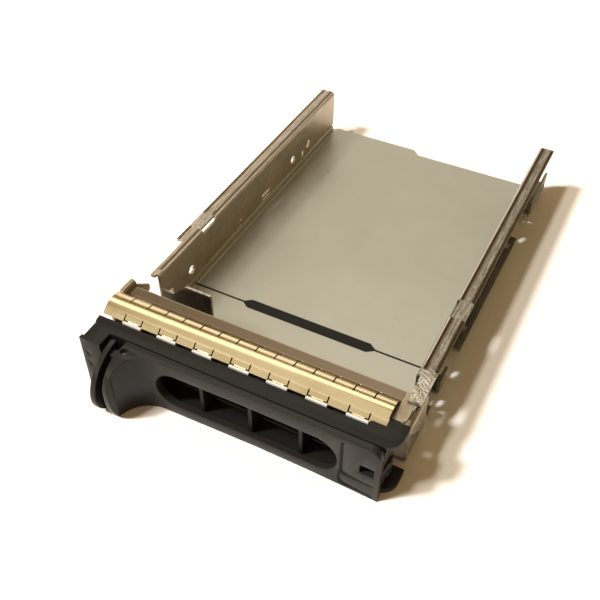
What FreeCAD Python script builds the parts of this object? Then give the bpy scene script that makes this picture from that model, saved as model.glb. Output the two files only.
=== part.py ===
import FreeCAD, Part
import math
import os

from FreeCAD import Vector

# Hot swap carrier for a 3.5 inch drive: a folded steel tray with two rails, a front frame with a
# spring gasket, and a moulded bezel with a swinging handle and a squeeze latch.
# Millimetres.  X runs across (right as seen from the front), Y to the connector end, Z up.
# The origin is the middle of the tray's underside.

# ---------------------------------------------------------------- driving dimensions
# The drive and its screws
drive_width = 101.6
drive_gap = 0.4                 # from the drive to each rail
first_holes = (28.5, 43.5)      # rear hole of each row, from the connector end
hole_pitch = 101.6              # rear hole to front hole of a row
hole_radius = 2.0
hole_height = 10.0              # above the underside

# Sheet metal
sheet = 1.0
bend = 0.5                      # inside radius of a fold
floor_length = 176.0
rear_step = 3.4                 # the left half of the floor stands this far out behind
step_x = -5.0
step_run = 3.0
riser_setback = 1.0             # the risers stop this far behind the floor's front edge
riser_height = 4.6              # top of the floor's outward edge flange
flange_width = 5.1              # from the outside of a riser to the edge of the floor's flange
rail_height = 23.0
rail_overhang = 0.2             # a rail's top flange past the floor's flange
rail_setback = 26.0             # front end of a rail to the floor's front edge
lip_height = 11.0
flange_spans = ((0.0, 26.0, True), (45.0, 117.0, False), (132.0, 140.0, True), (147.0, 150.0, False))
relief_span = (110.0, 120.0)    # slot in the rails' top fold
relief_depth = 1.3
window_span = (66.0, 73.0)
window_height = 3.4
notch_places = (33.8, 91.8)
notch_width = 1.6
narrow_length = 22.0            # the left flange is narrower over its front part
narrow_width = 2.4
right_flange_run = 12.0         # the right rail's top flange runs on over the front frame
stop_reach = 22.8               # the left rail's folded drive stop, across
stop_low = 17.0
stop_slope = 6.0

# Front frame and gasket
frame_setback = 18.0            # rear edge of the top plate to the floor's front edge
plate_depth = 12.35             # top plate, front to rear
wall_rear_run = 2.0             # the side walls start this far behind the top plate
foot_setback = 4.5
wall_setback = 3.7
right_wall_step = 0.7           # the right side wall stands this far outside the floor's flange
slot_run = 2.5                  # the relief beside the right wall starts this far into the plate
slot_width = 1.5
corner_cut = 2.0                # rounded front corner of the top plate
upstand_rise = 1.6              # left wall's raised lug, above the rail
upstand_span = (-0.5, 6.5)      # from the rear edge of the top plate
upstand_reach = 1.6
gasket_sheet = 0.25
gasket_inset = 0.1              # from the frame's left wall to the gasket's end
gasket_gap = 0.2                # from the gasket's right end to the inside of the right rail
gasket_foot = (0.6, 4.4)        # flat strip on the top plate, from the plate's rear edge
ridge_place = (8.6, 3.95)       # fold behind the fingers: from the plate's rear edge, and rise
crest_place = (13.8, 5.15)      # where the two tangents of the rounded crest meet
edge_place = (18.0, 1.5)        # front edge of the fingers
ridge_radius = 1.6
crest_radius = 7.0
finger_margins = (7.6, 7.1)     # from the gasket's ends to the first and the last slit
finger_count = 14
finger_slit = 0.5
slit_front = 11.4               # front end of a slit, from the plate's rear edge
clip_margin = 12.4              # from the gasket's left end to the middle of the first clip
clip_count = 7
clip_width = 7.7
tongue_width = 7.1
tongue_depth = 1.9              # rear end of a tongue's side cuts to the fingers' front edge
tongue_setback = 0.55           # tongue's front edge behind the fingers' front edge

# Moulded bezel
bezel_rise = 2.0                # top of the bezel above the rails
skin = 2.0                      # outer walls of the mouldings
wall = 1.5                      # inner walls of the mouldings
bezel_gap = 0.2                 # floor's front edge to the bezel
rebate_depth = 2.0              # the top's rear rebate, where the gasket's clips sit
rebate_gap = 0.2                # its step above the front frame
bezel_depth = 7.6
post_width = 9.3
post_depth = 6.2                # the flat left post stands this far out
air_inset = 5.0                 # from the post to the air opening
ear_run = 3.4                   # the upper ear reaches this far behind the bezel
spigot_depth = 9.0
boss_height = 4.0
rib_count = 5
rib_margins = (11.0, 2.2)       # from the ends of the air opening to the outer ribs
rib_thickness = 1.6

# Handle
pivot_run = 1.6                 # from the bezel's rear face to the hinge pin
ear_radius = 6.0
run_gap = 0.3                   # between parts that pass each other
pin_radius = 1.25
pin_fit = 0.05
knuckle_radius = 3.0
plate_depth_front = 3.4         # bezel's front to the handle's front face
plate_overhang = 2.4            # handle's right end past the hinge pin
plate_sag = 0.8                 # the front face is slightly hollow
corner_radius = 4.0
disc_thickness = 2.2
disc_run = 13.2                 # the round end stands this far in front of the plate
scoop_width = 14.0
slot_inset = -1.6               # from the start of the scoop to the finger opening
slot_margin = 14.8              # from the finger opening to the handle's right end
slot_height = 15.5
slot_middle = 11.75
window_inset = 2.1              # from the hinge pin to the middle of the window
window_size = (4.9, 4.2)
window_middle = 13.5
groove = 0.6
panel_width = 13.4

# Latch
latch_inset = 4.1               # from the left side of the air opening to the latch pin
latch_run = 4.6                 # from the bezel's front to the latch pin
disc_inset = 2.1                # from the latch pin to the left of the handle's round end
hub_radius = 2.5
blade_inset = 7.7               # from the latch pin to the outside of the blade
blade_thickness = 2.2
blade_gap = 1.4                 # from the bezel's front to the blade
blade_over = 0.5                # the blade stands out past the handle's round end
hook_run = 3.4                  # from the bezel's rear face to the hook
hook_nose = 1.6
hook_reach = 1.8                # hook tip to the latch pin's middle, across

# Light pipe, springs, fasteners
pipe_width = 2.1
pipe_height = 1.75
pipe_gap = 0.3                  # between the two pipes
pipe_inset = 2.35               # from the outside of a riser to the middle of the pipe's run
pipe_turn = 10.0                # the pipe's turn to the window, behind the floor's front edge
clip_sheet = 1.0                # wall of a light pipe clip
clip_slack = 0.1
clip_length = 5.0
spring_wire = 0.8
spring_turns = 2
latch_wire = 0.5
latch_turns = 2
rivet_places = (52.0, 106.0)
frame_rivet_run = 5.0           # from the rear edge of the top plate
rivet_radius = 1.3
screw_inset = 16.2              # from a rail to a bezel screw
screw_setback = 5.0
screw_radius = 1.4

# ---------------------------------------------------------------- derived places
rear_y = floor_length / 2
inner = drive_width / 2 + drive_gap
riser_front = floor_length - riser_setback
frame_reach = inner + sheet + flange_width
rail_reach = frame_reach + rail_overhang
narrow_reach = inner + sheet + narrow_width
rail_length = floor_length - rail_setback
wide_left = rail_length + sheet - narrow_length
left_flange_end = rail_length + sheet
right_flange_end = rail_length + right_flange_run
rivet_x = inner + sheet + bend + rivet_radius * 1.55
screw_x = inner - screw_inset
screw_d = floor_length - screw_setback
frame_top = rail_height - sheet
frame_rear = floor_length - frame_setback
frame_front = frame_rear + plate_depth
frame_wall_rear = frame_rear - wall_rear_run
frame_right = frame_reach + right_wall_step
foot_front = floor_length - foot_setback
wall_front = floor_length - wall_setback
frame_rivet_places = (frame_rear + frame_rivet_run,)
upstand_top = rail_height + upstand_rise
upstand_start, upstand_end = (frame_rear + place for place in upstand_span)
gasket_left = -frame_reach + gasket_inset
gasket_right = inner - gasket_gap
finger_first = gasket_left + finger_margins[0]
finger_pitch = (gasket_right - finger_margins[1] - finger_first) / (finger_count - 1)
clip_first = gasket_left + clip_margin
clip_pitch = finger_pitch * 2
bezel_height = rail_height + bezel_rise
bezel_rear = floor_length + bezel_gap
bezel_top_rear = bezel_rear + rebate_depth
bezel_front = bezel_rear + bezel_depth
rebate_height = frame_top + rebate_gap
post_right = -frame_reach + post_width
post_front = bezel_front + post_depth
air_left = post_right + air_inset
ear_rear = bezel_rear - ear_run
pivot_x = inner + sheet
pivot_d = bezel_rear + pivot_run
air_right = pivot_x - ear_radius
rib_first = air_left + rib_margins[0]
rib_pitch = (air_right - rib_margins[1] - rib_first) / (rib_count - 1)
latch_x = air_left + latch_inset
latch_d = bezel_front + latch_run
plate_front = bezel_front + plate_depth_front
plate_right = pivot_x + plate_overhang
disc_left = latch_x - disc_inset
disc_front = plate_front + disc_run
scoop_start = disc_left + scoop_width
slot_left = scoop_start + slot_inset
slot_right = plate_right - slot_margin
window_x = pivot_x - window_inset
panel_left = plate_right - panel_width
blade_left = latch_x - blade_inset
blade_rear = bezel_front + blade_gap
blade_front = disc_front + blade_over
hook_rear = bezel_rear + hook_run
pipe_run_x = inner + sheet + pipe_inset
gap_front = bezel_front + run_gap
ear_high = bezel_height - skin - run_gap
pipe_low = window_middle - pipe_gap / 2 - pipe_height
pipe_high = window_middle + pipe_gap / 2 + pipe_height
hinge_low = pipe_low - run_gap
hinge_high = pipe_high + run_gap
coil_radius = pin_radius + 0.2 + spring_wire / 2
coil_low = skin + run_gap + spring_wire / 2
knuckle_low = coil_low + spring_wire * (spring_turns + 1)
latch_spring_room = latch_wire * 3.6
pin_inset = 1.6                 # latch pin's ends below the handle's faces
notch_low = riser_height + sheet
FAR = 300.0


def y_at(distance):
    """Y of a place that lies this far in front of the connector end."""
    return rear_y - distance


# ---------------------------------------------------------------- shape helpers
def block(x0, x1, d0, d1, z0, z1):
    """Box between two X, two distances from the connector end and two heights."""
    return Part.makeBox(x1 - x0, d1 - d0, z1 - z0, Vector(x0, y_at(d1), z0))


def upright(x, distance, z0, z1, radius):
    """Vertical cylinder."""
    return Part.makeCylinder(radius, z1 - z0, Vector(x, y_at(distance), z0))


def rounded_wire(points, radii):
    """Closed wire through the points, each corner rounded by its own radius."""
    count = len(points)
    starts, ends, mids = [], [], []
    for i, point in enumerate(points):
        back = point - points[i - 1]
        ahead = points[(i + 1) % count] - point
        back.normalize()
        ahead.normalize()
        radius = radii[i] if hasattr(radii, "__len__") else radii
        turn = back.getAngle(ahead)
        if radius <= 0 or turn < 1e-6:
            starts.append(point)
            ends.append(point)
            mids.append(None)
            continue
        run = radius * math.tan(turn / 2)
        inward = ahead - back
        inward.normalize()
        centre = point + inward * (radius / math.cos(turn / 2))
        starts.append(point - back * run)
        ends.append(point + ahead * run)
        mids.append(centre - inward * radius)
    edges = []
    for i in range(count):
        if mids[i] is not None:
            edges.append(Part.Arc(starts[i], mids[i], ends[i]).toShape())
        following = starts[(i + 1) % count]
        if ends[i].distanceToPoint(following) > 1e-6:
            edges.append(Part.LineSegment(ends[i], following).toShape())
    return Part.Wire(edges)


def prism(points, radii, along):
    """Solid with a rounded outline, drawn out along a vector."""
    return Part.Face(rounded_wire(points, radii)).extrude(along)


def strip_outline(path, thickness, radius):
    """Outline points and radii of a folded strip, from the middle line of its section.

    The path lies in one plane; the strip's two faces are mitred at each fold, with the given
    radius inside the fold and that radius plus the thickness outside.  The radius may be a list
    with one value for each point of the path, and a fold with radius 0 is sharp.
    """
    inside = radius if hasattr(radius, "__len__") else [radius] * len(path)
    normal = None
    for i in range(1, len(path) - 1):
        normal = (path[i] - path[i - 1]).cross(path[i + 1] - path[i])
        if normal.Length > 1e-9:
            break
    normal.normalize()
    left, right, left_radii, right_radii = [], [], [], []
    for i, point in enumerate(path):
        back = (point - path[i - 1]) if i else (path[1] - path[0])
        ahead = (path[i + 1] - point) if i < len(path) - 1 else (point - path[i - 1])
        back.normalize()
        ahead.normalize()
        side_back = normal.cross(back)
        side_ahead = normal.cross(ahead)
        mitre = side_back + side_ahead
        mitre.normalize()
        reach = thickness / 2 / mitre.dot(side_back)
        turn = back.cross(ahead).dot(normal)
        left.append(point + mitre * reach)
        right.append(point - mitre * reach)
        sharp = abs(turn) < 1e-9 or inside[i] <= 0
        near, far = (0, 0) if sharp else (inside[i], inside[i] + thickness)
        left_radii.append(near if turn > 0 else far)
        right_radii.append(far if turn > 0 else near)
    right.reverse()
    right_radii.reverse()
    return left + right, left_radii + right_radii


def folded(path, thickness, radius, along):
    """Folded strip of sheet, drawn out along a vector."""
    points, radii = strip_outline(path, thickness, radius)
    return prism(points, radii, along)


def section(points, distance):
    """Points (x, z) as vectors on the plane this far from the connector end."""
    return [Vector(x, y_at(distance), z) for x, z in points]


def plan(points, z):
    """Points (x, distance) as vectors at one height."""
    return [Vector(x, y_at(distance), z) for x, distance in points]


def profile(points, x):
    """Points (distance, z) as vectors on a plane across the carrier."""
    return [Vector(x, y_at(distance), z) for distance, z in points]


def toward_front(length):
    return Vector(0, -length, 0)


def mirrored(shape):
    return shape.mirror(Vector(0, 0, 0), Vector(1, 0, 0))


def joined(shapes):
    """Solids fused into one, with the seams between level faces removed."""
    whole = shapes[0].fuse(shapes[1:]) if len(shapes) > 1 else shapes[0]
    return whole.removeSplitter()


def group(shapes):
    return Part.makeCompound(shapes)


# ---------------------------------------------------------------- tray
def floor_tray():
    """Folded floor: flat plate, low risers and outward flanges that carry the rails."""
    half = sheet / 2
    flange_z = riser_height - half
    reach = frame_reach
    path = [(-reach, flange_z), (-inner - half, flange_z), (-inner - half, half),
            (inner + half, half), (inner + half, flange_z), (reach, flange_z)]
    tray = folded(section(path, 0), sheet, bend, toward_front(floor_length))
    edge = inner + sheet
    cuts = []
    ends = [span[:2] for span in flange_spans] + [(frame_wall_rear, foot_front)]
    gaps = list(zip([end for start, end in ends], [start for start, end in ends[1:]] + [FAR]))
    for start, end in gaps:
        cuts.append(block(edge, reach + sheet, start, end, sheet, riser_height + sheet))
    cuts.append(block(inner - bend, FAR, riser_front, FAR, sheet, FAR))
    cuts += [mirrored(cut) for cut in cuts]
    tray = tray.cut(cuts)
    tongue = prism(plan([(-inner + bend + sheet, 0), (-inner + bend + sheet, -rear_step),
                         (step_x - step_run, -rear_step), (step_x, 0)], 0),
                   [0, 1.0, 1.0, 0], Vector(0, 0, sheet))
    tray = joined([tray, tongue])
    holes = [countersink(side * screw_x) for side in (-1, 1)]
    holes += [rivet_hole(side, place) for side in (-1, 1)
              for place in rivet_places + frame_rivet_places]
    return tray.cut(holes)


def countersink(x):
    """Room for one bezel screw in the floor."""
    depth = sheet * 0.8
    cone = Part.makeCone(screw_radius + depth + pin_fit, screw_radius + pin_fit, depth,
                         Vector(x, y_at(screw_d), 0))
    return cone.fuse(upright(x, screw_d, 0, sheet * 2, screw_radius + pin_fit))


def rivet_hole(side, place):
    """Hole through a rail flange and the floor flange under it."""
    return upright(side * rivet_x, place, sheet, riser_height + sheet * 2, rivet_radius)


# ---------------------------------------------------------------- rails
def rail_part(kind, start, end, reach):
    """Length of right-hand rail: 'lip' and 'flange' have a lower flange, 'bare' has none."""
    half = sheet / 2
    web = inner + half
    low = riser_height + half
    path = [(reach, rail_height - half), (web, rail_height - half), (web, low)]
    if kind == "bare":
        path[-1] = (web, riser_height)
    if kind in ("lip", "flange"):
        path.append((frame_reach - half if kind == "lip" else frame_reach, low))
    if kind == "lip":
        path.append((frame_reach - half, lip_height))
    return folded(section(path, start), sheet, bend, toward_front(end - start))


def plain_rail(reach_front, narrow_from, flange_end):
    """Right-hand rail with its holes; the top flange's front part has its own width and end."""
    cuts = [0.0]
    kinds = []
    for start, end, has_lip in flange_spans:
        end = min(end, rail_length)
        start = min(start, rail_length)
        if start > cuts[-1]:
            kinds.append("bare")
            cuts.append(start)
        if end > cuts[-1]:
            kinds.append("lip" if has_lip else "flange")
            cuts.append(end)
    pieces = [rail_part(kind, cuts[i], cuts[i + 1], rail_reach) for i, kind in enumerate(kinds)]
    half = sheet / 2
    pieces.append(block(inner + sheet + bend, rail_reach, rail_length, flange_end,
                        frame_top, rail_height))
    rail = joined(pieces)
    if narrow_from < flange_end:
        rail = rail.cut(block(reach_front, rail_reach + sheet, narrow_from, FAR,
                              frame_top - half, rail_height + half))
    middle = inner + half
    across = Vector(1, 0, 0)
    holes = []
    for first in first_holes:
        for place in (first, first + hole_pitch):
            holes.append(Part.makeCylinder(hole_radius, sheet * 3,
                                           Vector(inner - sheet, y_at(place), hole_height), across))
    relief = prism(plan([(inner - sheet, relief_span[0]), (inner - sheet, relief_span[1]),
                         (inner + relief_depth, relief_span[1]),
                         (inner + relief_depth, relief_span[0])], frame_top - relief_depth),
                   [0, 0, 0.6, 0.6], Vector(0, 0, sheet * 3))
    holes.append(relief)
    holes.append(block(middle - sheet, inner + sheet, window_span[0], window_span[1],
                       riser_height + sheet, riser_height + sheet + window_height))
    for place in notch_places:
        holes.append(block(middle - sheet, inner + sheet, place - notch_width / 2,
                           place + notch_width / 2, notch_low, notch_low + window_height))
    return rail.cut(holes)


def right_rail():
    rail = plain_rail(rail_reach, FAR, right_flange_end)
    return rail.cut([rivet_hole(1, place) for place in rivet_places])


def left_rail():
    """Mirror of the right rail, with a narrower front and the folded drive stop."""
    rail = plain_rail(narrow_reach, wide_left, left_flange_end)
    half = sheet / 2
    web = inner + half
    face = rail_length + half
    corner = folded(plan([(web, rail_length - sheet * 2), (web, face), (inner - stop_reach, face)],
                         riser_height), sheet, bend, Vector(0, 0, stop_low - riser_height))
    low_end = inner - stop_slope
    foot = block(inner - stop_reach, inner - sheet * 2, rail_length, rail_length + sheet,
                 sheet + run_gap, riser_height)
    raised = prism([Vector(x, y_at(face + half), z) for x, z in (
        (low_end, stop_low), (low_end - stop_slope, rail_height),
        (inner - stop_reach, rail_height), (inner - stop_reach, stop_low))],
        0, Vector(0, sheet, 0))
    rail = joined([rail, corner, foot, raised])
    return mirrored(rail.cut([rivet_hole(1, place) for place in rivet_places]))


def rivet(side, place):
    """One straight rivet through an upper sheet and the floor's flange, standing proud on top."""
    low = riser_height - sheet
    high = riser_height + sheet + 0.5
    return upright(side * rivet_x, place, low, high, rivet_radius)


def rail_rivets(side):
    """Rivets through one rail's lower flange."""
    return group([rivet(side, place) for place in rivet_places])


def frame_rivets():
    """Rivets through both feet of the front frame."""
    return group([rivet(side, place) for side in (-1, 1) for place in frame_rivet_places])


# ---------------------------------------------------------------- front frame and gasket
def front_frame():
    """Folded frame: top plate, side walls and feet that stand on the floor's flanges."""
    half = sheet / 2
    left = -frame_reach + half
    right = frame_right - half
    foot = inner + sheet
    foot_z = riser_height + half
    path = [(-foot, foot_z), (left, foot_z), (left, frame_top - half),
            (right, frame_top - half), (right, foot_z), (foot, foot_z)]
    frame = folded(section(path, frame_wall_rear), sheet, bend,
                   toward_front(wall_front - frame_wall_rear))
    inside_left = left + half
    inside = right - half
    corner = inside - slot_width
    under_plate = frame_top - sheet * 2
    cuts = [
        block(inside_left, inside, frame_wall_rear - 1, frame_rear, under_plate, FAR),
        block(inside_left, inside, frame_front, FAR, under_plate, FAR),
        block(corner, inside, frame_rear + slot_run, FAR, under_plate, FAR),
        block(-FAR, FAR, foot_front, FAR, 0, foot_z + sheet),
    ]
    nose = block(corner - corner_cut, corner + 1, frame_front - corner_cut, FAR, under_plate, FAR)
    nose = nose.cut(upright(corner - corner_cut, frame_front - corner_cut, 0, FAR, corner_cut))
    ramp_front = wall_front - sheet
    ramp_rear = frame_rear + 3.0
    ramp = [(ramp_front, frame_top - 3.0), (ramp_rear, riser_height + 4.4),
            (ramp_rear, riser_height + 2.6), (ramp_front, riser_height + 2.6)]
    window = prism(profile(ramp, inside - 1), 0.6, Vector(sheet + 2, 0, 0))
    frame = frame.cut(cuts + [nose, window] + [rivet_hole(end, place) for end in (-1, 1)
                                               for place in frame_rivet_places])
    half_top = upstand_top - half
    lug = folded(section([(left, under_plate), (left, half_top), (left - upstand_reach, half_top)],
                         upstand_start), sheet, bend, toward_front(upstand_end - upstand_start))
    brace_top = frame_top + bend
    brace_rear = rail_length + 0.6
    brace = prism(profile([(upstand_start + 1, brace_top), (upstand_start + 1, riser_height + 5.4),
                           (frame_wall_rear, riser_height + 5.4), (brace_rear, frame_top - 7.0),
                           (brace_rear, frame_top - 5.0), (upstand_start, brace_top)], -frame_reach),
                  0, Vector(sheet, 0, 0))
    return joined([frame, lug, brace])


def gasket_path():
    """Middle line of the gasket's section: distance from the connector end, and height."""
    foot = frame_top + gasket_sheet / 2
    level = [(frame_rear + run, foot) for run in gasket_foot]
    return level + [(frame_rear + run, foot + rise) for run, rise in
                    (ridge_place, crest_place, edge_place)]


def sloping(rear, front, x, width):
    """Flat sloping piece of the gasket's sheet between two places (distance, height)."""
    low_rear, low_front = ((place, height - gasket_sheet) for place, height in (rear, front))
    return prism(profile([rear, front, low_front, low_rear], x), 0, Vector(width, 0, 0))


def spring_gasket():
    """Stamped strip of spring fingers; a clip under each tongue grips the bezel's edge."""
    path = gasket_path()
    strip = folded(profile(path, gasket_left), gasket_sheet, [0, 0, ridge_radius, crest_radius, 0],
                   Vector(gasket_right - gasket_left, 0, 0))
    edge_d, edge_z = path[-1]
    low = frame_top + gasket_sheet * 2
    slits = [block(gasket_left - 1, -inner - sheet * 4, 0, upstand_end + run_gap, 0, FAR)]
    for i in range(finger_count):
        x = finger_first + i * finger_pitch
        slits.append(block(x - finger_slit / 2, x + finger_slit / 2, path[1][0],
                           frame_rear + slit_front, low, FAR))
    half = tongue_width / 2
    clips = []
    for i in range(clip_count):
        x = clip_first + i * clip_pitch
        for side in (x - half, x + half):
            slits.append(block(side - finger_slit / 2, side + finger_slit / 2,
                               edge_d - tongue_depth, FAR, low, FAR))
        slits.append(block(x - half, x + half, edge_d - tongue_setback, FAR, low, FAR))
        neck = (edge_d - tongue_depth * 1.4, edge_z + tongue_depth * 1.12)
        bar = (edge_d - tongue_setback * 0.8, edge_z - 0.15)
        tip = (edge_d + 0.75, frame_top + 0.45)
        clips.append(sloping(neck, bar, x - half * 0.6, half * 1.2))
        clips.append(sloping(bar, tip, x - clip_width / 2, clip_width))
    return joined([strip.cut(slits)] + clips)


# ---------------------------------------------------------------- bezel
def bezel_body():
    """Moulded bezel: air frame with ribs, flat left post, hinge ears and a spigot behind."""
    right = pivot_x + ear_radius
    left = -frame_reach
    outline = [(left, bezel_rear), (left + 0.9, bezel_rear + 5), (left + 1.4, bezel_rear + 5.2),
               (left + 1.6, post_front - 0.5), (post_right, post_front - 0.5),
               (post_right, bezel_front), (right, bezel_front), (right, bezel_rear)]
    main = prism(plan(outline, 0), [0, 0, 0, 0, 0, 0.6, ear_radius, 0], Vector(0, 0, bezel_height))
    air_top = frame_top - sheet - wall
    air = block(air_left, air_right, 0, FAR, skin, air_top)
    hinge_room = block(air_right - 1, right + 1, 0, FAR, skin, bezel_height - skin)
    rebate_right = clip_first + (clip_count - 1) * clip_pitch + clip_width / 2 + run_gap * 2
    rebate = block(left - 1, rebate_right, 0, bezel_top_rear, rebate_height, FAR)
    hollow = block(left + 1.6 + skin, post_right - skin, 0, post_front - skin, skin, air_top)
    main = main.cut([air, hinge_room, rebate, hollow])
    ears = [block(gasket_right + run_gap, right, ear_rear, bezel_rear + 1,
                  bezel_height - skin, bezel_height),
            block(air_right, right, ear_rear, bezel_rear + 1, 0, skin)]
    ears[1] = ears[1].cut(block(-FAR, inner + sheet + run_gap, 0, floor_length + run_gap, -1, skin + 1))
    plate = block(left + 0.7, post_right, post_front - 1.6, post_front, 0, bezel_height)
    spigot_right = inner - 4
    spigot_left = -inner + bend
    spigot_low = sheet
    spigot_high = frame_top - sheet
    spigot = block(spigot_left, spigot_right, bezel_rear - spigot_depth, bezel_rear,
                   spigot_low, spigot_high)
    spigot = spigot.cut(block(spigot_left + wall, spigot_right - wall, 0, FAR,
                              spigot_low + wall, spigot_high - wall))
    boss_half = screw_radius * 2.4
    bosses = [block(side * screw_x - boss_half, side * screw_x + boss_half, screw_d - boss_half,
                    screw_d + boss_half, spigot_low, spigot_low + boss_height)
              for side in (-1, 1)]
    ribs = [block(x - rib_thickness / 2, x + rib_thickness / 2, bezel_rear - spigot_depth / 2,
                  bezel_front - 0.6, skin, air_top)
            for x in (rib_first + i * rib_pitch for i in range(rib_count))]
    keeper_left = latch_x + hook_reach + run_gap
    keeper = block(keeper_left, keeper_left + 2.4, bezel_rear, bezel_front - 0.6, skin, air_top)
    body = joined([main, plate, spigot, keeper] + ears + bosses + ribs)
    pin_hole = [upright(pivot_x, pivot_d, low, high, pin_radius + pin_fit)
                for low, high in ((0.5, skin + 1), (bezel_height - skin - 1, bezel_height - 0.5))]
    lamp_slots = [prism([Vector(x + left, y_at(post_front - 1), z) for x, z in
                         ((2.4, top), (3.0, top - 0.6), (4.3, top - 2.2), (3.7, top - 2.3),
                          (2.9, top - 1.4))], 0, toward_front(2)) for top in (18.9, 14.0)]
    screw_holes = [upright(side * screw_x, screw_d, 0, spigot_low + boss_height - 0.6, screw_radius)
                   for side in (-1, 1)]
    return body.cut(pin_hole + lamp_slots + screw_holes)


# ---------------------------------------------------------------- handle
def end_profile(front, top_inset, low_inset):
    """Side view of the round left end: points are (distance, height)."""
    top = Part.LineSegment(*profile([(gap_front, bezel_height), (front - top_inset, bezel_height)], 0))
    upper = Part.Arc(*profile([(front - top_inset, bezel_height), (front - 2.3, bezel_height * 0.82),
                               (front, bezel_height * 0.5)], 0))
    lower = Part.Arc(*profile([(front, bezel_height * 0.5), (front - 0.6, bezel_height * 0.24),
                               (front - low_inset, 0)], 0))
    base = Part.LineSegment(*profile([(front - low_inset, 0), (gap_front, 0)], 0))
    back = Part.LineSegment(*profile([(gap_front, 0), (gap_front, bezel_height)], 0))
    return Part.Wire([edge.toShape() for edge in (top, upper, lower, base, back)])


def handle_outline():
    """Plan of the handle: hollow front face, scoop and end disc."""
    disc_right = disc_left + disc_thickness
    reach_x = scoop_start - disc_right
    reach_d = disc_front - plate_front
    middle_x = (scoop_start + plate_right) / 2
    spot = math.radians(45)
    knee = (scoop_start - reach_x * math.cos(spot), disc_front - reach_d * math.sin(spot))
    right_edge = Part.LineSegment(*plan([(plate_right, gap_front), (plate_right, plate_front)], 0))
    face = Part.Arc(*plan([(plate_right, plate_front), (middle_x, plate_front - plate_sag),
                           (scoop_start, plate_front)], 0))
    scoop = Part.Arc(*plan([(scoop_start, plate_front), knee, (disc_right, disc_front)], 0))
    rim = Part.LineSegment(*plan([(disc_right, disc_front), (disc_left, disc_front)], 0))
    left = Part.LineSegment(*plan([(disc_left, disc_front), (disc_left, gap_front)], 0))
    back = Part.LineSegment(*plan([(disc_left, gap_front), (plate_right, gap_front)], 0))
    return Part.Wire([edge.toShape() for edge in (right_edge, face, scoop, rim, left, back)])


def handle_lever():
    """Swinging handle: plate with a long finger opening, scooped end and hinge knuckles."""
    body = Part.Face(handle_outline()).extrude(Vector(0, 0, bezel_height))
    side = Part.Face(end_profile(disc_front, 9.6, 2.8)).extrude(Vector(FAR, 0, 0))
    side.translate(Vector(-FAR / 2, 0, 0))
    body = body.common(side)
    radius = slot_height / 2
    opening = prism([Vector(x, y_at(0), z) for x, z in (
        (slot_left, slot_middle - radius), (slot_left, slot_middle + radius),
        (slot_right, slot_middle + radius), (slot_right, slot_middle - radius))],
        radius * 0.999, toward_front(FAR))
    corner = block(plate_right - corner_radius, plate_right + 1, 0, FAR,
                   bezel_height - corner_radius, bezel_height + 1)
    round_end = Part.makeCylinder(corner_radius, FAR * 2,
                                  Vector(plate_right - corner_radius, -FAR, bezel_height - corner_radius),
                                  Vector(0, 1, 0))
    corner = corner.cut(round_end)
    light = block(window_x - window_size[0] / 2, window_x + window_size[0] / 2, 0, FAR,
                  window_middle - window_size[1] / 2, window_middle + window_size[1] / 2)
    body = body.cut([opening, corner, light] + panel_grooves())
    knuckles = []
    for low, high in ((knuckle_low, hinge_low), (hinge_high, ear_high)):
        web = block(pivot_x - knuckle_radius, pivot_x + knuckle_radius * 0.8, pivot_d,
                    gap_front + 0.5, low, high)
        knuckles.append(upright(pivot_x, pivot_d, low, high, knuckle_radius).fuse(web))
    body = joined([body] + knuckles)
    hub_room = hub_radius + run_gap
    room_low = skin + 0.6
    room_high = bezel_height - skin - 0.6
    side_room = block(disc_left - 3, latch_x + hub_room, 0, latch_d, room_low, room_high)
    front_room = block(disc_left - 3, latch_x, latch_d - 1, latch_d + hub_room, room_low, room_high)
    hub = upright(latch_x, latch_d, room_low, room_high, hub_room)
    pins = [upright(latch_x, latch_d, pin_inset, FAR, pin_radius),
            upright(pivot_x, pivot_d, -1, FAR, pin_radius)]
    return body.cut([side_room, front_room, hub] + pins)


def panel_grooves():
    """Two fine grooves that frame the indicator panel."""
    front = plate_front + 1
    back = plate_front - 0.5
    grooves = []
    for left, high, low in ((panel_left, 22.6, 7.0), (panel_left - 0.5, 8.2, 1.6)):
        path = plan([(left, 0)], 0)
        path = [Vector(left, y_at(front), high), Vector(left, y_at(front), low),
                Vector(plate_right - 2.0, y_at(front), low)]
        points, radii = strip_outline(path, groove, 1.6)
        grooves.append(prism(points, radii, Vector(0, front - back, 0)))
    return grooves


def hinge_pin(low, high):
    """Smooth pin, pressed into a knuckle and turning in an ear of the bezel."""
    return upright(pivot_x, pivot_d, low, high, pin_radius)


# ---------------------------------------------------------------- latch
def release_latch():
    """Squeeze latch: round blade, arm, hub and hook in one moulding."""
    low = skin + 0.6 + run_gap + latch_spring_room
    high = bezel_height - skin - 0.6 - run_gap
    blade = Part.Face(blade_outline()).extrude(Vector(blade_thickness, 0, 0))
    blade.translate(Vector(blade_left, 0, 0))
    arm = block(blade_left + 0.5, latch_x, latch_d - 1.6, latch_d + 1.6, low, high)
    hub = upright(latch_x, latch_d, low, high, hub_radius)
    shank_high = frame_top - sheet - wall - run_gap
    shank = block(latch_x - 1.2, latch_x + 0.7, hook_rear, latch_d, low, shank_high)
    hook = prism(plan([(latch_x - 1.2, hook_rear), (latch_x + hook_reach - 0.6, hook_rear),
                       (latch_x + hook_reach, hook_rear + hook_nose),
                       (latch_x, hook_rear + hook_nose)], low),
                 0, Vector(0, 0, shank_high - low))
    body = joined([blade, arm, hub, shank, hook])
    return body.cut(upright(latch_x, latch_d, -1, FAR, pin_radius + pin_fit))


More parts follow.
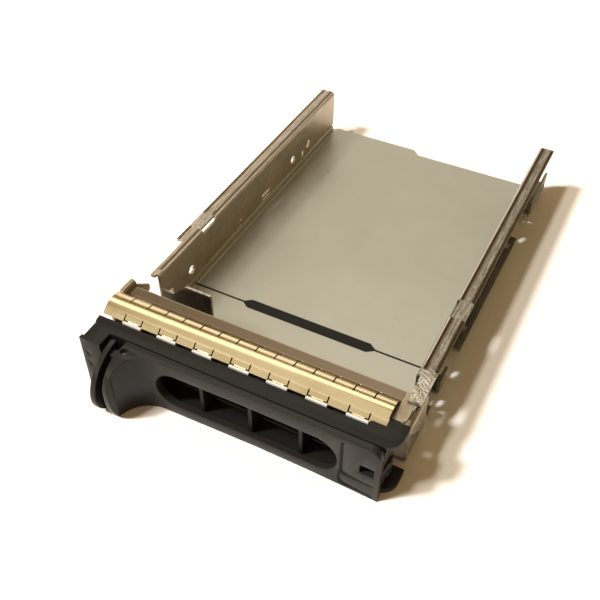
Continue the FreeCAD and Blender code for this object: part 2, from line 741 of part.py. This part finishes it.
def blade_outline():
    """Side view of the finger blade: points are (distance, height)."""
    tall = bezel_height - 0.5
    rear = blade_rear
    front = blade_front
    points = [(rear, tall), (front - 5.6, tall * 0.84), (front, tall * 0.42),
              (front - 4.2, 0.6), (rear, 1.6)]
    upper = Part.Arc(*profile(points[0:3], 0))
    lower = Part.Arc(*profile([points[2], (front - 1.2, tall * 0.16), points[3]], 0))
    base = Part.LineSegment(*profile([points[3], points[4]], 0))
    back = Part.LineSegment(*profile([points[4], points[0]], 0))
    return Part.Wire([edge.toShape() for edge in (upper, lower, base, back)])


def latch_pin():
    return upright(latch_x, latch_d, pin_inset, bezel_height - pin_inset, pin_radius)


# ---------------------------------------------------------------- small parts
def coil(centre, radius, wire, turns, front_leg, rear_leg):
    """Torsion spring: close whole turns with a straight leg at each end, in eight-sided wire.

    The turns start and end at the left of the centre; the lower leg runs to the front and the
    upper one to the rear.
    """
    pitch = wire * 1.05
    steps = 12
    low = centre - Vector(radius, 0, 0)
    high = low + Vector(0, 0, pitch * turns)
    points = [low - Vector(0, front_leg, 0)]
    for i in range(steps * turns + 1):
        angle = 2 * math.pi * i / steps
        points.append(centre + Vector(-radius * math.cos(angle), radius * math.sin(angle),
                                      pitch * i / steps))
    points.append(high + Vector(0, rear_leg, 0))
    corners = [points[0] + Vector(wire / 2 * math.cos(i * math.pi / 4), 0,
                                  wire / 2 * math.sin(i * math.pi / 4)) for i in range(9)]
    return Part.makePolygon(points).makePipeShell([Part.makePolygon(corners)], True, False, 1)


def handle_spring():
    """Torsion spring round the lower hinge pin."""
    centre = Vector(pivot_x, y_at(pivot_d), coil_low)
    front_leg = gap_front - pivot_d - run_gap
    rear_leg = pivot_d - bezel_rear + 6.5
    return coil(centre, coil_radius, spring_wire, spring_turns, front_leg, rear_leg)


def latch_spring():
    """Torsion spring round the latch pin, under the latch's hub."""
    centre = Vector(latch_x, y_at(latch_d), skin + 0.6 + run_gap + latch_wire / 2)
    radius = pin_radius + run_gap + latch_wire / 2
    return coil(centre, radius, latch_wire, latch_turns, 0.6, 3.5)


def light_pipe(low):
    """Clear strip that carries a rear lamp's light to the window in the handle."""
    front = bezel_front - 0.2
    path = plan([(window_x, front - 5), (window_x, floor_length - pipe_turn),
                 (pipe_run_x, rail_length - 1), (pipe_run_x, 2)], low)
    strip = folded(path, pipe_width, 3, Vector(0, 0, pipe_height))
    wide = window_size[0] - 0.4
    head = prism(plan([(window_x - wide / 2, front), (window_x - wide / 2, front - 3),
                       (window_x - pipe_width / 2, front - 9), (window_x + pipe_width / 2, front - 9),
                       (window_x + wide / 2, front - 3), (window_x + wide / 2, front)], low),
                 0, Vector(0, 0, pipe_height))
    return joined([strip, head])


def light_pipe_clips():
    """Two moulded clips that snap into the right rail's slots and carry both light pipes."""
    back = inner + sheet
    reach = pipe_run_x + pipe_width / 2
    low = pipe_low - clip_slack
    high = pipe_high + clip_slack
    clips = []
    for place in notch_places:
        start = place - clip_length / 2
        end = place + clip_length / 2
        post = block(back, pipe_run_x - pipe_width / 2 - clip_slack, start, end,
                     low - clip_sheet, high + clip_sheet)
        arms = [block(back, reach, start, end, base, base + clip_sheet)
                for base in (low - clip_sheet, high)]
        foot = block(back, back + clip_sheet, start, end, notch_low + bend + clip_slack, low)
        peg = block(inner + clip_slack, back, place - notch_width / 2 + clip_slack,
                    place + notch_width / 2 - clip_slack, notch_low + bend + clip_slack,
                    notch_low + window_height - clip_slack)
        clips.append(joined([post, foot, peg] + arms))
    return group(clips)


def bezel_screws():
    """Two countersunk screws that hold the bezel's spigot to the floor."""
    depth = sheet * 0.8
    screws = []
    for side in (-1, 1):
        x = side * screw_x
        head = Part.makeCone(screw_radius + depth, screw_radius, depth, Vector(x, y_at(screw_d), 0))
        shank = upright(x, screw_d, depth, sheet + boss_height - 0.6, screw_radius)
        slots = [block(x - long, x + long, screw_d - short, screw_d + short, -1, 0.5)
                 for long, short in ((1.3, 0.25), (0.25, 1.3))]
        screws.append(joined([head, shank]).cut(slots))
    return group(screws)


# ---------------------------------------------------------------- write the pieces
pieces = {
    "floor_tray": floor_tray(),
    "left_rail": left_rail(),
    "right_rail": right_rail(),
    "left_rail_rivets": rail_rivets(-1),
    "right_rail_rivets": rail_rivets(1),
    "front_frame": front_frame(),
    "frame_rivets": frame_rivets(),
    "spring_gasket": spring_gasket(),
    "bezel_body": bezel_body(),
    "bezel_screws": bezel_screws(),
    "handle_lever": handle_lever(),
    "upper_hinge_pin": hinge_pin(hinge_high + 1, bezel_height - 0.6),
    "lower_hinge_pin": hinge_pin(0.6, hinge_low - 1),
    "handle_spring": handle_spring(),
    "release_latch": release_latch(),
    "latch_pin": latch_pin(),
    "latch_spring": latch_spring(),
    "status_light_pipe": light_pipe(window_middle + pipe_gap / 2),
    "activity_light_pipe": light_pipe(pipe_low),
    "light_pipe_clips": light_pipe_clips(),
}
os.makedirs("parts", exist_ok=True)
for name, shape in pieces.items():
    shape.exportStep("parts/" + name + ".step")
    box = shape.BoundBox
    print("%-20s solids %d valid %s volume %9.2f  X %.2f %.2f  Y %.2f %.2f  Z %.2f %.2f" % (
        name, len(shape.Solids), shape.isValid(), shape.Volume, box.XMin, box.XMax,
        box.YMin, box.YMax, box.ZMin, box.ZMax))
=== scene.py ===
import math
import bmesh
import bpy
from mathutils import Matrix, Vector


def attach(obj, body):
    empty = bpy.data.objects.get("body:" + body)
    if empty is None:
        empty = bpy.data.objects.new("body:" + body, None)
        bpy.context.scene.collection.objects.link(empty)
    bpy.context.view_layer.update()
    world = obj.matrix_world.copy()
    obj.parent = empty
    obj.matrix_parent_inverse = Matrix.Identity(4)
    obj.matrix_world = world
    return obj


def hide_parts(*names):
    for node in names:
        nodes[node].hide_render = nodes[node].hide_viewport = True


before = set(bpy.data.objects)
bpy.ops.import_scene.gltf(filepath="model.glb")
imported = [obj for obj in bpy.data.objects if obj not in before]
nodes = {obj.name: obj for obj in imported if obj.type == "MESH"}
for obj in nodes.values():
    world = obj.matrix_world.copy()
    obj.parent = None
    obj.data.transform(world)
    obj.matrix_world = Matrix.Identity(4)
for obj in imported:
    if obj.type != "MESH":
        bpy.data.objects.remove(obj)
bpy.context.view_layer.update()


# ---------------------------------------------------------------- tray floor
# One folded steel sheet: flat floor, low risers and outward flanges. It is zinc plated, satin,
# with a black printed line across it that widens to a bare bar, and a few faint press dimples.
MM = 0.001
REAR = 88.0 * MM          # the carrier's connector end, on Y: places are given forwards from it


class Finish:
    """One finish of the carrier's surfaces, built up as the node tree of a material."""

    def __init__(self, name):
        self.material = bpy.data.materials.new(name)
        self.material.use_nodes = True
        self.tree = self.material.node_tree
        self.tree.nodes.clear()
        out = self.add("ShaderNodeOutputMaterial")
        self.shader = self.add("ShaderNodeBsdfPrincipled")
        self.feed(out.inputs[0], self.shader.outputs[0])
        self.place = self.add("ShaderNodeTexCoord").outputs["Object"]

    def feed(self, socket, value):
        """Give a socket a colour, a number or what another node puts out."""
        if isinstance(value, tuple):
            socket.default_value = (*value, 1.0)
        elif isinstance(value, (int, float)):
            socket.default_value = value
        else:
            self.tree.links.new(value, socket)

    def add(self, kind, inputs=None, **settings):
        """A new node, with its settings and what feeds its inputs."""
        node = self.tree.nodes.new(kind)
        for name, value in settings.items():
            setattr(node, name, value)
        for name, value in (inputs or {}).items():
            self.feed(node.inputs[name], value)
        return node

    def axes(self):
        return self.add("ShaderNodeSeparateXYZ", {"Vector": self.place}).outputs

    def stretched(self, stretch):
        """The place on the piece, with each axis times a factor: under 1 draws a pattern out."""
        node = self.add("ShaderNodeMapping", {"Vector": self.place})
        node.inputs["Scale"].default_value = stretch
        return node.outputs[0]

    def noise(self, scale, detail, rough, stretch=(1, 1, 1)):
        inputs = {"Vector": self.stretched(stretch), "Scale": scale, "Detail": detail, "Roughness": rough}
        return self.add("ShaderNodeTexNoise", inputs).outputs["Fac"]

    def cells(self, scale, stretch):
        """Three chance numbers for each cell of a crystal pattern."""
        pattern = self.add("ShaderNodeTexVoronoi", {"Vector": self.stretched(stretch), "Scale": scale})
        return self.add("ShaderNodeSeparateColor", {"Color": pattern.outputs["Color"]}).outputs

    def calc(self, operation, *values, clamp=False):
        node = self.add("ShaderNodeMath", operation=operation, use_clamp=clamp)
        for socket, value in zip(node.inputs, values):
            self.feed(socket, value)
        return node.outputs[0]

    def plus(self, a, b):
        return self.calc("ADD", a, b)

    def times(self, a, b):
        return self.calc("MULTIPLY", a, b)

    def above(self, value, limit):
        return self.calc("GREATER_THAN", value, limit)

    def below(self, value, limit):
        return self.calc("LESS_THAN", value, limit)

    def distance(self, a, b):
        return self.calc("ABSOLUTE", self.calc("SUBTRACT", a, b))

    def ramp(self, value, start_end, outcome=(0.0, 1.0), smooth=False):
        """Runs through the outcome as the value goes from start to end, and is level outside."""
        inputs = {"Value": value, "From Min": start_end[0], "From Max": start_end[1],
                  "To Min": outcome[0], "To Max": outcome[1]}
        kind = "SMOOTHSTEP" if smooth else "LINEAR"
        return self.add("ShaderNodeMapRange", inputs, interpolation_type=kind).outputs["Result"]

    def mix(self, factor, a, b):
        """Colour a where the factor is nothing, colour b where it is one."""
        node = self.add("ShaderNodeMix", data_type="RGBA")
        factor_socket, a_socket, b_socket = node.inputs[0], node.inputs[6], node.inputs[7]
        self.feed(factor_socket, factor)
        self.feed(a_socket, a)
        self.feed(b_socket, b)
        return node.outputs[2]

    def bump(self, height, strength, distance, under=None):
        """Relief of this height, laid over another relief where one is given."""
        node = self.add("ShaderNodeBump", {"Strength": strength, "Distance": distance, "Height": height})
        if under is not None:
            self.feed(node.inputs["Normal"], under)
        return node.outputs[0]

    def surface(self, **values):
        """What the shader's own sockets get, by their names."""
        for name, value in values.items():
            self.feed(self.shader.inputs[name.replace("_", " ")], value)


def shaded(tone, share):
    """A colour made darker or lighter by one share, up to full white."""
    return tuple(min(1.0, part * share) for part in tone)


def dress(node, material):
    """Give a CAD node this material in place of its plain one."""
    mesh = nodes[node].data
    mesh.materials.clear()
    mesh.materials.append(material)


floor_top = 1.0 * MM
print_low = floor_top - 0.1 * MM
print_high = floor_top + 0.6 * MM
print_middle = REAR - 128.2 * MM
bar_middle = -0.3 * MM
bar_half_width = 2.4 * MM
line_half_width = 0.45 * MM
bar_taper = (25.7 * MM, 28.5 * MM)        # where the bar narrows to the line, from its middle
dimple_places = ((-37.0, 32.7), (-7.1, 28.7), (15.6, 20.3), (-22.7, 60.0), (29.2, 110.1))
dimple_radius = 2.2 * MM
zinc_dull = (0.455, 0.462, 0.405)
zinc_light = (0.505, 0.512, 0.455)
zinc_metal = 0.85
zinc_rough = (0.38, 0.46)
ink_black = (0.012, 0.011, 0.010)
ink_rougher = 0.2

tray_coat = Finish("tray_zinc")
x, y, z = tray_coat.axes()
along_bar = tray_coat.distance(x, bar_middle)
half_width = tray_coat.ramp(along_bar, bar_taper, (bar_half_width, line_half_width))
printed = tray_coat.below(tray_coat.distance(y, print_middle), half_width)
on_floor = tray_coat.times(tray_coat.above(z, print_low), tray_coat.below(z, print_high))
ink = tray_coat.times(printed, on_floor)
mottle = tray_coat.noise(scale=28.0, detail=5.0, rough=0.6)
sheet_colour = tray_coat.mix(tray_coat.ramp(mottle, (0.3, 0.7)), zinc_dull, zinc_light)
tray_coat.surface(Base_Color=tray_coat.mix(ink, sheet_colour, ink_black),
                  Metallic=tray_coat.calc("SUBTRACT", zinc_metal, ink, clamp=True),
                  Roughness=tray_coat.plus(tray_coat.ramp(mottle, (0.2, 0.8), zinc_rough),
                                           tray_coat.times(ink, ink_rougher)),
                  Specular_IOR_Level=0.15)
dimples = 0.0
for across, forwards in dimple_places:
    away = tray_coat.add("ShaderNodeVectorMath", operation="DISTANCE")
    tray_coat.feed(away.inputs[0], tray_coat.place)
    away.inputs[1].default_value = (across * MM, REAR - forwards * MM, floor_top)
    dimple = tray_coat.ramp(away.outputs["Value"], (0.0, dimple_radius), (1.0, 0.0), smooth=True)
    dimples = tray_coat.plus(dimples, dimple)
fine = tray_coat.noise(scale=900.0, detail=2.0, rough=0.6)
pressed = tray_coat.bump(dimples, strength=0.5, distance=0.25 * MM)
tray_coat.surface(Normal=tray_coat.bump(fine, strength=0.12, distance=0.04 * MM, under=pressed))
dress("floor_tray", tray_coat.material)


# ---------------------------------------------------------------- side rails and front frame
# Folded galvanised sheet: a rail at each side, riveted to the tray, and the frame at the front.
# The spangled zinc is scuffed along the top flanges, where the carrier slides in its bay.
# Each top fold has a painted highlight on its inner side and painted dark reflections in brown bands
# beside it.
flange_rise = (21.5 * MM, 22.2 * MM)        # what lies above these heights is a top flange
rear_hem_front = REAR - 110.0 * MM
front_hem = (REAR - 147.0 * MM, REAR - 120.0 * MM)
lip_side = 52.2 * MM                        # this and the next four are from the middle plane
inner_reflection_band = (53.2 * MM, 54.1 * MM)
outer_reflection_band = (56.2 * MM, 57.0 * MM)
inner_fall = (51.5 * MM, 53.2 * MM)
outer_fall = (56.2 * MM, 57.5 * MM)
inner_fall_depth = 0.8 * MM
outer_fall_depth = 0.5 * MM
# painted dark reflection for the brown bands, and painted highlight for the pale band along the inner fold
painted_reflection_brown = (0.145, 0.110, 0.068)
painted_highlight_pale = (0.80, 0.77, 0.76)
scuff_pale = (0.72, 0.72, 0.68)
patch_shade = 0.80                          # shares of the zinc's own tone
spangle_glint = 1.25
spangle_share = 0.35                        # how far the brightest spangle goes to its glint
spangle_rougher = 0.10
rail_rough = (0.26, 0.40)
streak_levels = (0.42, 0.70)                # where each noise starts and ends being a scratch
fleck_levels = (0.50, 0.75)
reflection_hides = 0.8                           # how much of the scratches a band of painted dark reflection covers


def hem(coat, y):
    """One where a flange is hemmed, nothing over its relief and beyond the hem at its front."""
    at_front = coat.times(coat.below(y, front_hem[1]), coat.above(y, front_hem[0]))
    return coat.plus(coat.above(y, rear_hem_front), at_front)


def galvanised(name, tone, scuffs, painted_reflections, crumple=None):
    """Spangled zinc: how scuffed and how strong its painted fold highlight and dark reflections are, from
    0 to 1, and where its front is crumpled.
    """
    coat = Finish(name)
    x, y, z = coat.axes()
    from_middle = coat.distance(x, 0.0)
    top = coat.ramp(z, flange_rise, smooth=True)
    hemmed = coat.times(hem(coat, y), top)

    cloud = coat.noise(scale=60.0, detail=4.0, rough=0.6)
    spangle_tone, spangle_rough, spangle_relief = coat.cells(scale=420.0, stretch=(1.0, 0.55, 1.0))
    colour = coat.mix(coat.ramp(cloud, (0.35, 0.65)), shaded(tone, patch_shade), tone)
    colour = coat.mix(coat.times(spangle_tone, spangle_share), colour, shaded(tone, spangle_glint))

    streaks = coat.noise(scale=1300.0, detail=3.0, rough=0.6, stretch=(1.0, 0.07, 1.0))
    flecks = coat.noise(scale=1500.0, detail=2.0, rough=0.6, stretch=(1.0, 0.40, 1.0))
    scratched = coat.calc("MAXIMUM", coat.ramp(streaks, streak_levels), coat.ramp(flecks, fleck_levels))
    marks = coat.times(coat.times(scratched, top), scuffs)
    if crumple:
        crumpled = coat.times(coat.ramp(y, crumple, (1.0, 0.0), smooth=True), top)
        dents = coat.times(coat.noise(scale=330.0, detail=3.0, rough=0.6), crumpled)
        marks = coat.calc("MAXIMUM", marks, crumpled)

    # Painted dark reflections: brown bands beside the inner and outer folds of the top flanges.
    bands = coat.plus(coat.ramp(from_middle, inner_reflection_band, (1.0, 0.0)), coat.ramp(from_middle, outer_reflection_band))
    dark_reflection = coat.times(bands, hemmed)
    # Painted highlight: a pale band along the inner top fold, where the bend would catch the light.
    fold_highlight = coat.times(coat.below(from_middle, lip_side), hemmed)
    colour = coat.mix(coat.times(dark_reflection, painted_reflections), colour, painted_reflection_brown)
    colour = coat.mix(coat.times(fold_highlight, painted_reflections), colour, painted_highlight_pale)
    marks = coat.calc("SUBTRACT", marks, coat.times(dark_reflection, reflection_hides), clamp=True)
    coat.surface(Base_Color=coat.mix(marks, colour, scuff_pale), Metallic=1.0,
                 Roughness=coat.plus(coat.ramp(cloud, (0.3, 0.7), rail_rough),
                                     coat.times(spangle_rough, spangle_rougher)))

    fall = coat.plus(coat.ramp(from_middle, inner_fall, (0.0, -inner_fall_depth)),
                     coat.ramp(from_middle, outer_fall, (0.0, -outer_fall_depth)))
    relief = coat.bump(spangle_relief, strength=0.10, distance=0.05 * MM)
    relief = coat.bump(marks, strength=0.6, distance=0.12 * MM, under=relief)
    relief = coat.bump(coat.times(fall, hemmed), strength=1.0, distance=1.0, under=relief)
    if crumple:
        relief = coat.bump(dents, strength=1.0, distance=2.2 * MM, under=relief)
    coat.surface(Normal=relief)
    return coat.material


dress("left_rail", galvanised("left_rail_zinc", (0.48, 0.42, 0.33), scuffs=1.0, painted_reflections=0.35))
# The right rail's darker tone is painted shade and its stronger bands painted dark reflection: it is the
# same zinc as the left rail.
dress("right_rail", galvanised("right_rail_zinc", (0.24, 0.225, 0.18), scuffs=0.7, painted_reflections=0.9,
                               crumple=(REAR - 150.0 * MM, REAR - 142.0 * MM)))
dress("front_frame", galvanised("frame_zinc", (0.38, 0.32, 0.23), scuffs=0.2, painted_reflections=0.0))


# ---------------------------------------------------------------- rivets, screws, pins and springs
# Plain zinc plated steel rivets and countersunk screws, ground steel pins for both hinges, and a
# torsion spring of drawn steel wire for the handle and for the latch.
def bare_steel(name, tone, rough):
    coat = Finish(name)
    wear = coat.noise(scale=700.0, detail=3.0, rough=0.6)
    coat.surface(Base_Color=coat.mix(wear, tone, shaded(tone, 1.3)), Metallic=1.0,
                 Roughness=coat.ramp(wear, (0.3, 0.7), (rough, rough + 0.12)),
                 Normal=coat.bump(wear, strength=0.15, distance=0.03 * MM))
    return coat.material


fastener_steel = bare_steel("fastener_steel", (0.46, 0.45, 0.43), rough=0.32)
pin_steel = bare_steel("pin_steel", (0.42, 0.42, 0.41), rough=0.22)
wire_steel = bare_steel("wire_steel", (0.34, 0.34, 0.34), rough=0.30)
for fastener in ("left_rail_rivets", "right_rail_rivets", "frame_rivets", "bezel_screws"):
    dress(fastener, fastener_steel)
for pin in ("upper_hinge_pin", "lower_hinge_pin", "latch_pin"):
    dress(pin, pin_steel)
for spring in ("handle_spring", "latch_spring"):
    dress(spring, wire_steel)


# ---------------------------------------------------------------- spring gasket
# A stamped strip of thin spring metal, plated pale gold, that grounds the carrier to its bay.
# Slits part it into fingers, its flat foot is duller, and bright rolled clips hold its front.
foot_edge = (REAR - 162.8 * MM, REAR - 162.0 * MM)
gold_deep = (0.60, 0.51, 0.31)
gold_pale = (0.72, 0.63, 0.42)
gold_rough = (0.15, 0.21)
foot_brown = (0.20, 0.155, 0.11)
foot_rougher = 0.15
tin_dull = (0.86, 0.84, 0.80)
tin_bright = (0.97, 0.96, 0.94)

gold = Finish("gasket_gold")
haze = gold.noise(scale=45.0, detail=4.0, rough=0.55)
speck = gold.noise(scale=1500.0, detail=2.0, rough=0.6)
foot = gold.ramp(gold.axes()["Y"], foot_edge, smooth=True)
face = gold.mix(gold.ramp(haze, (0.3, 0.7)), gold_deep, gold_pale)
gold.surface(Base_Color=gold.mix(foot, face, foot_brown), Metallic=1.0,
             Roughness=gold.plus(gold.ramp(haze, (0.2, 0.8), gold_rough), gold.times(foot, foot_rougher)),
             Normal=gold.bump(speck, strength=0.05, distance=0.02 * MM))
dress("spring_gasket", gold.material)

tin = Finish("clip_tin")
rub = tin.noise(scale=900.0, detail=3.0, rough=0.6, stretch=(0.3, 1.0, 1.0))
tin.surface(Base_Color=tin.mix(rub, tin_dull, tin_bright), Metallic=0.6,
            Roughness=tin.ramp(rub, (0.3, 0.7), (0.30, 0.42)))

clip_sizes = {"First": -44.8 * MM, "Pitch": 14.385 * MM, "Width": 7.6 * MM, "Radius": 0.68 * MM,
              "Axis Y": REAR - 176.1 * MM, "Axis Z": 22.9 * MM}
clip_values = {"Count": 7, **clip_sizes}
clip_sides = 18
clip_sharp_over = math.radians(50)
tree = bpy.data.node_groups.new("clip_rolls", "GeometryNodeTree")
tree.interface.new_socket("Geometry", in_out="INPUT", socket_type="NodeSocketGeometry")
tree.interface.new_socket("Geometry", in_out="OUTPUT", socket_type="NodeSocketGeometry")
tree.interface.new_socket("Count", in_out="INPUT", socket_type="NodeSocketInt")
for name in clip_sizes:
    tree.interface.new_socket(name, in_out="INPUT", socket_type="NodeSocketFloat")
sizes = tree.nodes.new("NodeGroupInput").outputs
start = tree.nodes.new("ShaderNodeCombineXYZ")
step = tree.nodes.new("ShaderNodeCombineXYZ")
row = tree.nodes.new("GeometryNodeMeshLine")
clip = tree.nodes.new("GeometryNodeMeshCylinder")
clip.inputs["Vertices"].default_value = clip_sides
laid = tree.nodes.new("GeometryNodeTransform")
laid.inputs["Rotation"].default_value = (0, math.pi / 2, 0)
copies = tree.nodes.new("GeometryNodeInstanceOnPoints")
real = tree.nodes.new("GeometryNodeRealizeInstances")
tinned = tree.nodes.new("GeometryNodeSetMaterial")
tinned.inputs["Material"].default_value = tin.material
result = tree.nodes.new("NodeGroupOutput")
for source, target in ((sizes["First"], start.inputs["X"]),
                       (sizes["Axis Y"], start.inputs["Y"]),
                       (sizes["Axis Z"], start.inputs["Z"]),
                       (sizes["Pitch"], step.inputs["X"]),
                       (sizes["Count"], row.inputs["Count"]),
                       (start.outputs[0], row.inputs["Start Location"]),
                       (step.outputs[0], row.inputs["Offset"]),
                       (sizes["Radius"], clip.inputs["Radius"]),
                       (sizes["Width"], clip.inputs["Depth"]),
                       (clip.outputs["Mesh"], laid.inputs["Geometry"]),
                       (row.outputs["Mesh"], copies.inputs["Points"]),
                       (laid.outputs["Geometry"], copies.inputs["Instance"]),
                       (copies.outputs["Instances"], real.inputs["Geometry"]),
                       (real.outputs["Geometry"], tinned.inputs["Geometry"]),
                       (tinned.outputs["Geometry"], result.inputs["Geometry"])):
    tree.links.new(source, target)
clip_rolls = bpy.data.objects.new("clip_rolls", bpy.data.meshes.new("clip_row"))
bpy.context.scene.collection.objects.link(clip_rolls)
row_maker = clip_rolls.modifiers.new("rolls", "NODES")
row_maker.node_group = tree
for socket in tree.interface.items_tree:
    if socket.in_out == "INPUT" and socket.name in clip_values:
        row_maker[socket.identifier] = clip_values[socket.name]
rolls = bpy.data.meshes.new_from_object(clip_rolls.evaluated_get(bpy.context.evaluated_depsgraph_get()))
clip_rolls.modifiers.clear()
clip_rolls.data = rolls
rolls.shade_smooth()
rolls.set_sharp_from_angle(angle=clip_sharp_over)
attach(clip_rolls, "carrier")


# ---------------------------------------------------------------- bezel, handle and latch
# Three injection mouldings in one charcoal plastic with a fine spark-eroded texture and small
# edge radii: the air bezel, the swinging handle and the squeeze latch.
def moulded(name, tone, rough):
    skin = Finish(name)
    cloud = skin.noise(scale=35.0, detail=3.0, rough=0.5)
    grain = skin.noise(scale=2600.0, detail=3.0, rough=0.6)
    skin.surface(Base_Color=skin.mix(cloud, shaded(tone, 0.9), shaded(tone, 1.1)),
                 Roughness=skin.ramp(cloud, (0.3, 0.7), (rough, rough + 0.08)), Specular_IOR_Level=0.24,
                 Normal=skin.bump(grain, strength=0.25, distance=0.05 * MM))
    return skin.material


def rolled_edges(node, body, material, width):
    """Show a CAD node as a copy of its mesh with small rolled edges, none standing off its faces."""
    weld = 0.001 * MM
    flat_under = math.radians(1.0)
    rolled_over = math.radians(40)
    sharp_over = math.radians(35)
    mesh = nodes[node].data.copy()
    form = bmesh.new()
    form.from_mesh(mesh)
    bmesh.ops.remove_doubles(form, verts=form.verts, dist=weld)
    bmesh.ops.dissolve_limit(form, angle_limit=flat_under, verts=form.verts, edges=form.edges)
    form.to_mesh(mesh)
    form.free()
    piece = bpy.data.objects.new(node + "_moulding", mesh)
    bpy.context.scene.collection.objects.link(piece)
    edges = piece.modifiers.new("edges", "BEVEL")
    edges.width = width
    edges.segments = 3
    edges.limit_method = "ANGLE"
    edges.angle_limit = rolled_over
    edges.use_clamp_overlap = False
    solid = bpy.data.meshes.new_from_object(piece.evaluated_get(bpy.context.evaluated_depsgraph_get()))
    piece.modifiers.clear()
    piece.data = solid
    for vertex in solid.vertices:
        on_face = nodes[node].closest_point_on_mesh(vertex.co)[1]
        if (on_face - vertex.co).length > width:
            vertex.co = on_face
    solid.shade_smooth()
    solid.set_sharp_from_angle(angle=sharp_over)
    solid.materials.clear()
    solid.materials.append(material)
    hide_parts(node)
    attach(piece, body)


rolled_edges("bezel_body", "carrier",
             moulded("bezel_plastic", (0.010, 0.0095, 0.009), rough=0.36), width=0.25 * MM)
# The handle and the latch get a lighter tone than the bezel, painted light: all three are one plastic.
rolled_edges("handle_lever", "handle",
             moulded("handle_plastic", (0.016, 0.015, 0.014), rough=0.30), width=0.35 * MM)
rolled_edges("release_latch", "latch",
             moulded("latch_plastic", (0.016, 0.015, 0.014), rough=0.28), width=0.30 * MM)


# ---------------------------------------------------------------- light pipes and their clips
# Two clear moulded strips that carry the rear lamps' light to the window in the handle, and the
# dark plastic clips that hold them along the right rail.
clear = Finish("light_pipe_clear")
swirl = clear.noise(scale=120.0, detail=2.0, rough=0.5)
clear.surface(Base_Color=(0.80, 0.83, 0.83), Roughness=clear.ramp(swirl, (0.3, 0.7), (0.06, 0.14)),
              IOR=1.49, Transmission_Weight=0.9)
dress("status_light_pipe", clear.material)
dress("activity_light_pipe", clear.material)
dress("light_pipe_clips", moulded("clip_plastic", (0.05, 0.05, 0.05), rough=0.5))


# ---------------------------------------------------------------- floor, lights and camera
# A pale sheet under the part, softboxes that only the gloss of the metal and the plastic shows,
# and two distant lamps from the front left. The room is brown, but pale where the camera sees it.
sheet_half = 1.5
sheet_top = -0.1 * MM
corners = [(-sheet_half, -sheet_half, sheet_top), (sheet_half, -sheet_half, sheet_top),
           (sheet_half, sheet_half, sheet_top), (-sheet_half, sheet_half, sheet_top)]
ground = bpy.data.meshes.new("ground")
ground.from_pydata(corners, [], [(0, 1, 2, 3)])
sheet = bpy.data.objects.new("ground", ground)
bpy.context.scene.collection.objects.link(sheet)
paper = Finish("paper")
paper.surface(Base_Color=(0.90, 0.88, 0.86), Roughness=0.8)
ground.materials.append(paper.material)


def softbox(name, place, target, size, power, colour):
    lamp = bpy.data.lights.new(name, "AREA")
    lamp.shape = "RECTANGLE"
    lamp.size, lamp.size_y = size
    lamp.energy = power
    lamp.color = colour
    holder = bpy.data.objects.new(name, lamp)
    facing = (Vector(target) - Vector(place)).to_track_quat("-Z", "Y").to_matrix().to_4x4()
    holder.matrix_world = Matrix.Translation(place) @ facing
    holder.visible_diffuse = False
    bpy.context.scene.collection.objects.link(holder)


def distant_lamp(name, direction, power, spread, colour):
    lamp = bpy.data.lights.new(name, "SUN")
    lamp.energy = power
    lamp.angle = math.radians(spread)
    lamp.color = colour
    holder = bpy.data.objects.new(name, lamp)
    holder.rotation_euler = Vector(direction).to_track_quat("-Z", "Y").to_euler()
    holder.visible_glossy = False
    bpy.context.scene.collection.objects.link(holder)


softbox("window", place=(-0.42, 0.50, 1.12), target=(0.0, -0.02, 0.01),
        size=(1.2, 0.42), power=3.0, colour=(1.0, 0.97, 0.87))
softbox("rear_strip", place=(-0.45, 1.15, 0.62), target=(0.0, 0.0, 0.02),
        size=(1.4, 0.22), power=1.5, colour=(1.0, 0.97, 0.92))
softbox("ceiling", place=(0.0, -0.40, 1.30), target=(0.0, -0.40, 0.0),
        size=(1.7, 1.4), power=5.0, colour=(1.0, 0.97, 0.90))
softbox("front_left", place=(-0.50, -0.95, 0.85), target=(0.0, -0.08, 0.02),
        size=(1.0, 0.7), power=1.1, colour=(1.0, 0.97, 0.90))
softbox("front_strip", place=(-0.55, -1.15, 0.66), target=(0.0, -0.10, 0.01),
        size=(1.1, 0.14), power=3.0, colour=(1.0, 0.97, 0.92))
softbox("front_fill", place=(0.15, -1.1, 0.40), target=(0.0, -0.05, 0.01),
        size=(0.9, 0.5), power=2.6, colour=(1.0, 0.96, 0.90))
distant_lamp("high_lamp", direction=(0.85, 0.85, -2.15), power=1.4, spread=6, colour=(1.0, 0.93, 0.80))
distant_lamp("low_lamp", direction=(1.45, 1.15, -2.15), power=3.5, spread=7, colour=(1.0, 0.97, 0.95))

room_brown = (0.42, 0.28, 0.125, 1.0)
room_pale = (1.34, 1.33, 1.30, 1.0)
room_strength = 0.75
world = bpy.data.worlds.new("studio")
world.use_nodes = True
backdrop = world.node_tree.nodes["Background"]
backdrop.inputs["Strength"].default_value = room_strength
room = world.node_tree.nodes.new("ShaderNodeMix")
room.data_type = "RGBA"
room.inputs[6].default_value = room_brown
room.inputs[7].default_value = room_pale
rays = world.node_tree.nodes.new("ShaderNodeLightPath")
world.node_tree.links.new(rays.outputs["Is Camera Ray"], room.inputs[0])
world.node_tree.links.new(room.outputs[2], backdrop.inputs["Color"])
bpy.context.scene.world = world
bpy.context.scene.view_settings.view_transform = "Standard"

camera_place = (96.5 * MM, REAR - 323.1 * MM, 226.6 * MM)
camera_turn = math.radians(27.19)
camera_tilt = math.radians(44.26)
camera_roll = math.radians(0.35)
lens = bpy.data.cameras.new("camera")
lens.sensor_width = 36.0
lens.lens = 48.48
lens.clip_start = 0.01
camera = bpy.data.objects.new("camera", lens)
camera.matrix_world = (Matrix.Translation(camera_place)
                       @ Matrix.Rotation(camera_turn, 4, "Z")
                       @ Matrix.Rotation(math.pi / 2 - camera_tilt, 4, "X")
                       @ Matrix.Rotation(camera_roll, 4, "Z"))
bpy.context.scene.collection.objects.link(camera)
bpy.context.scene.camera = camera
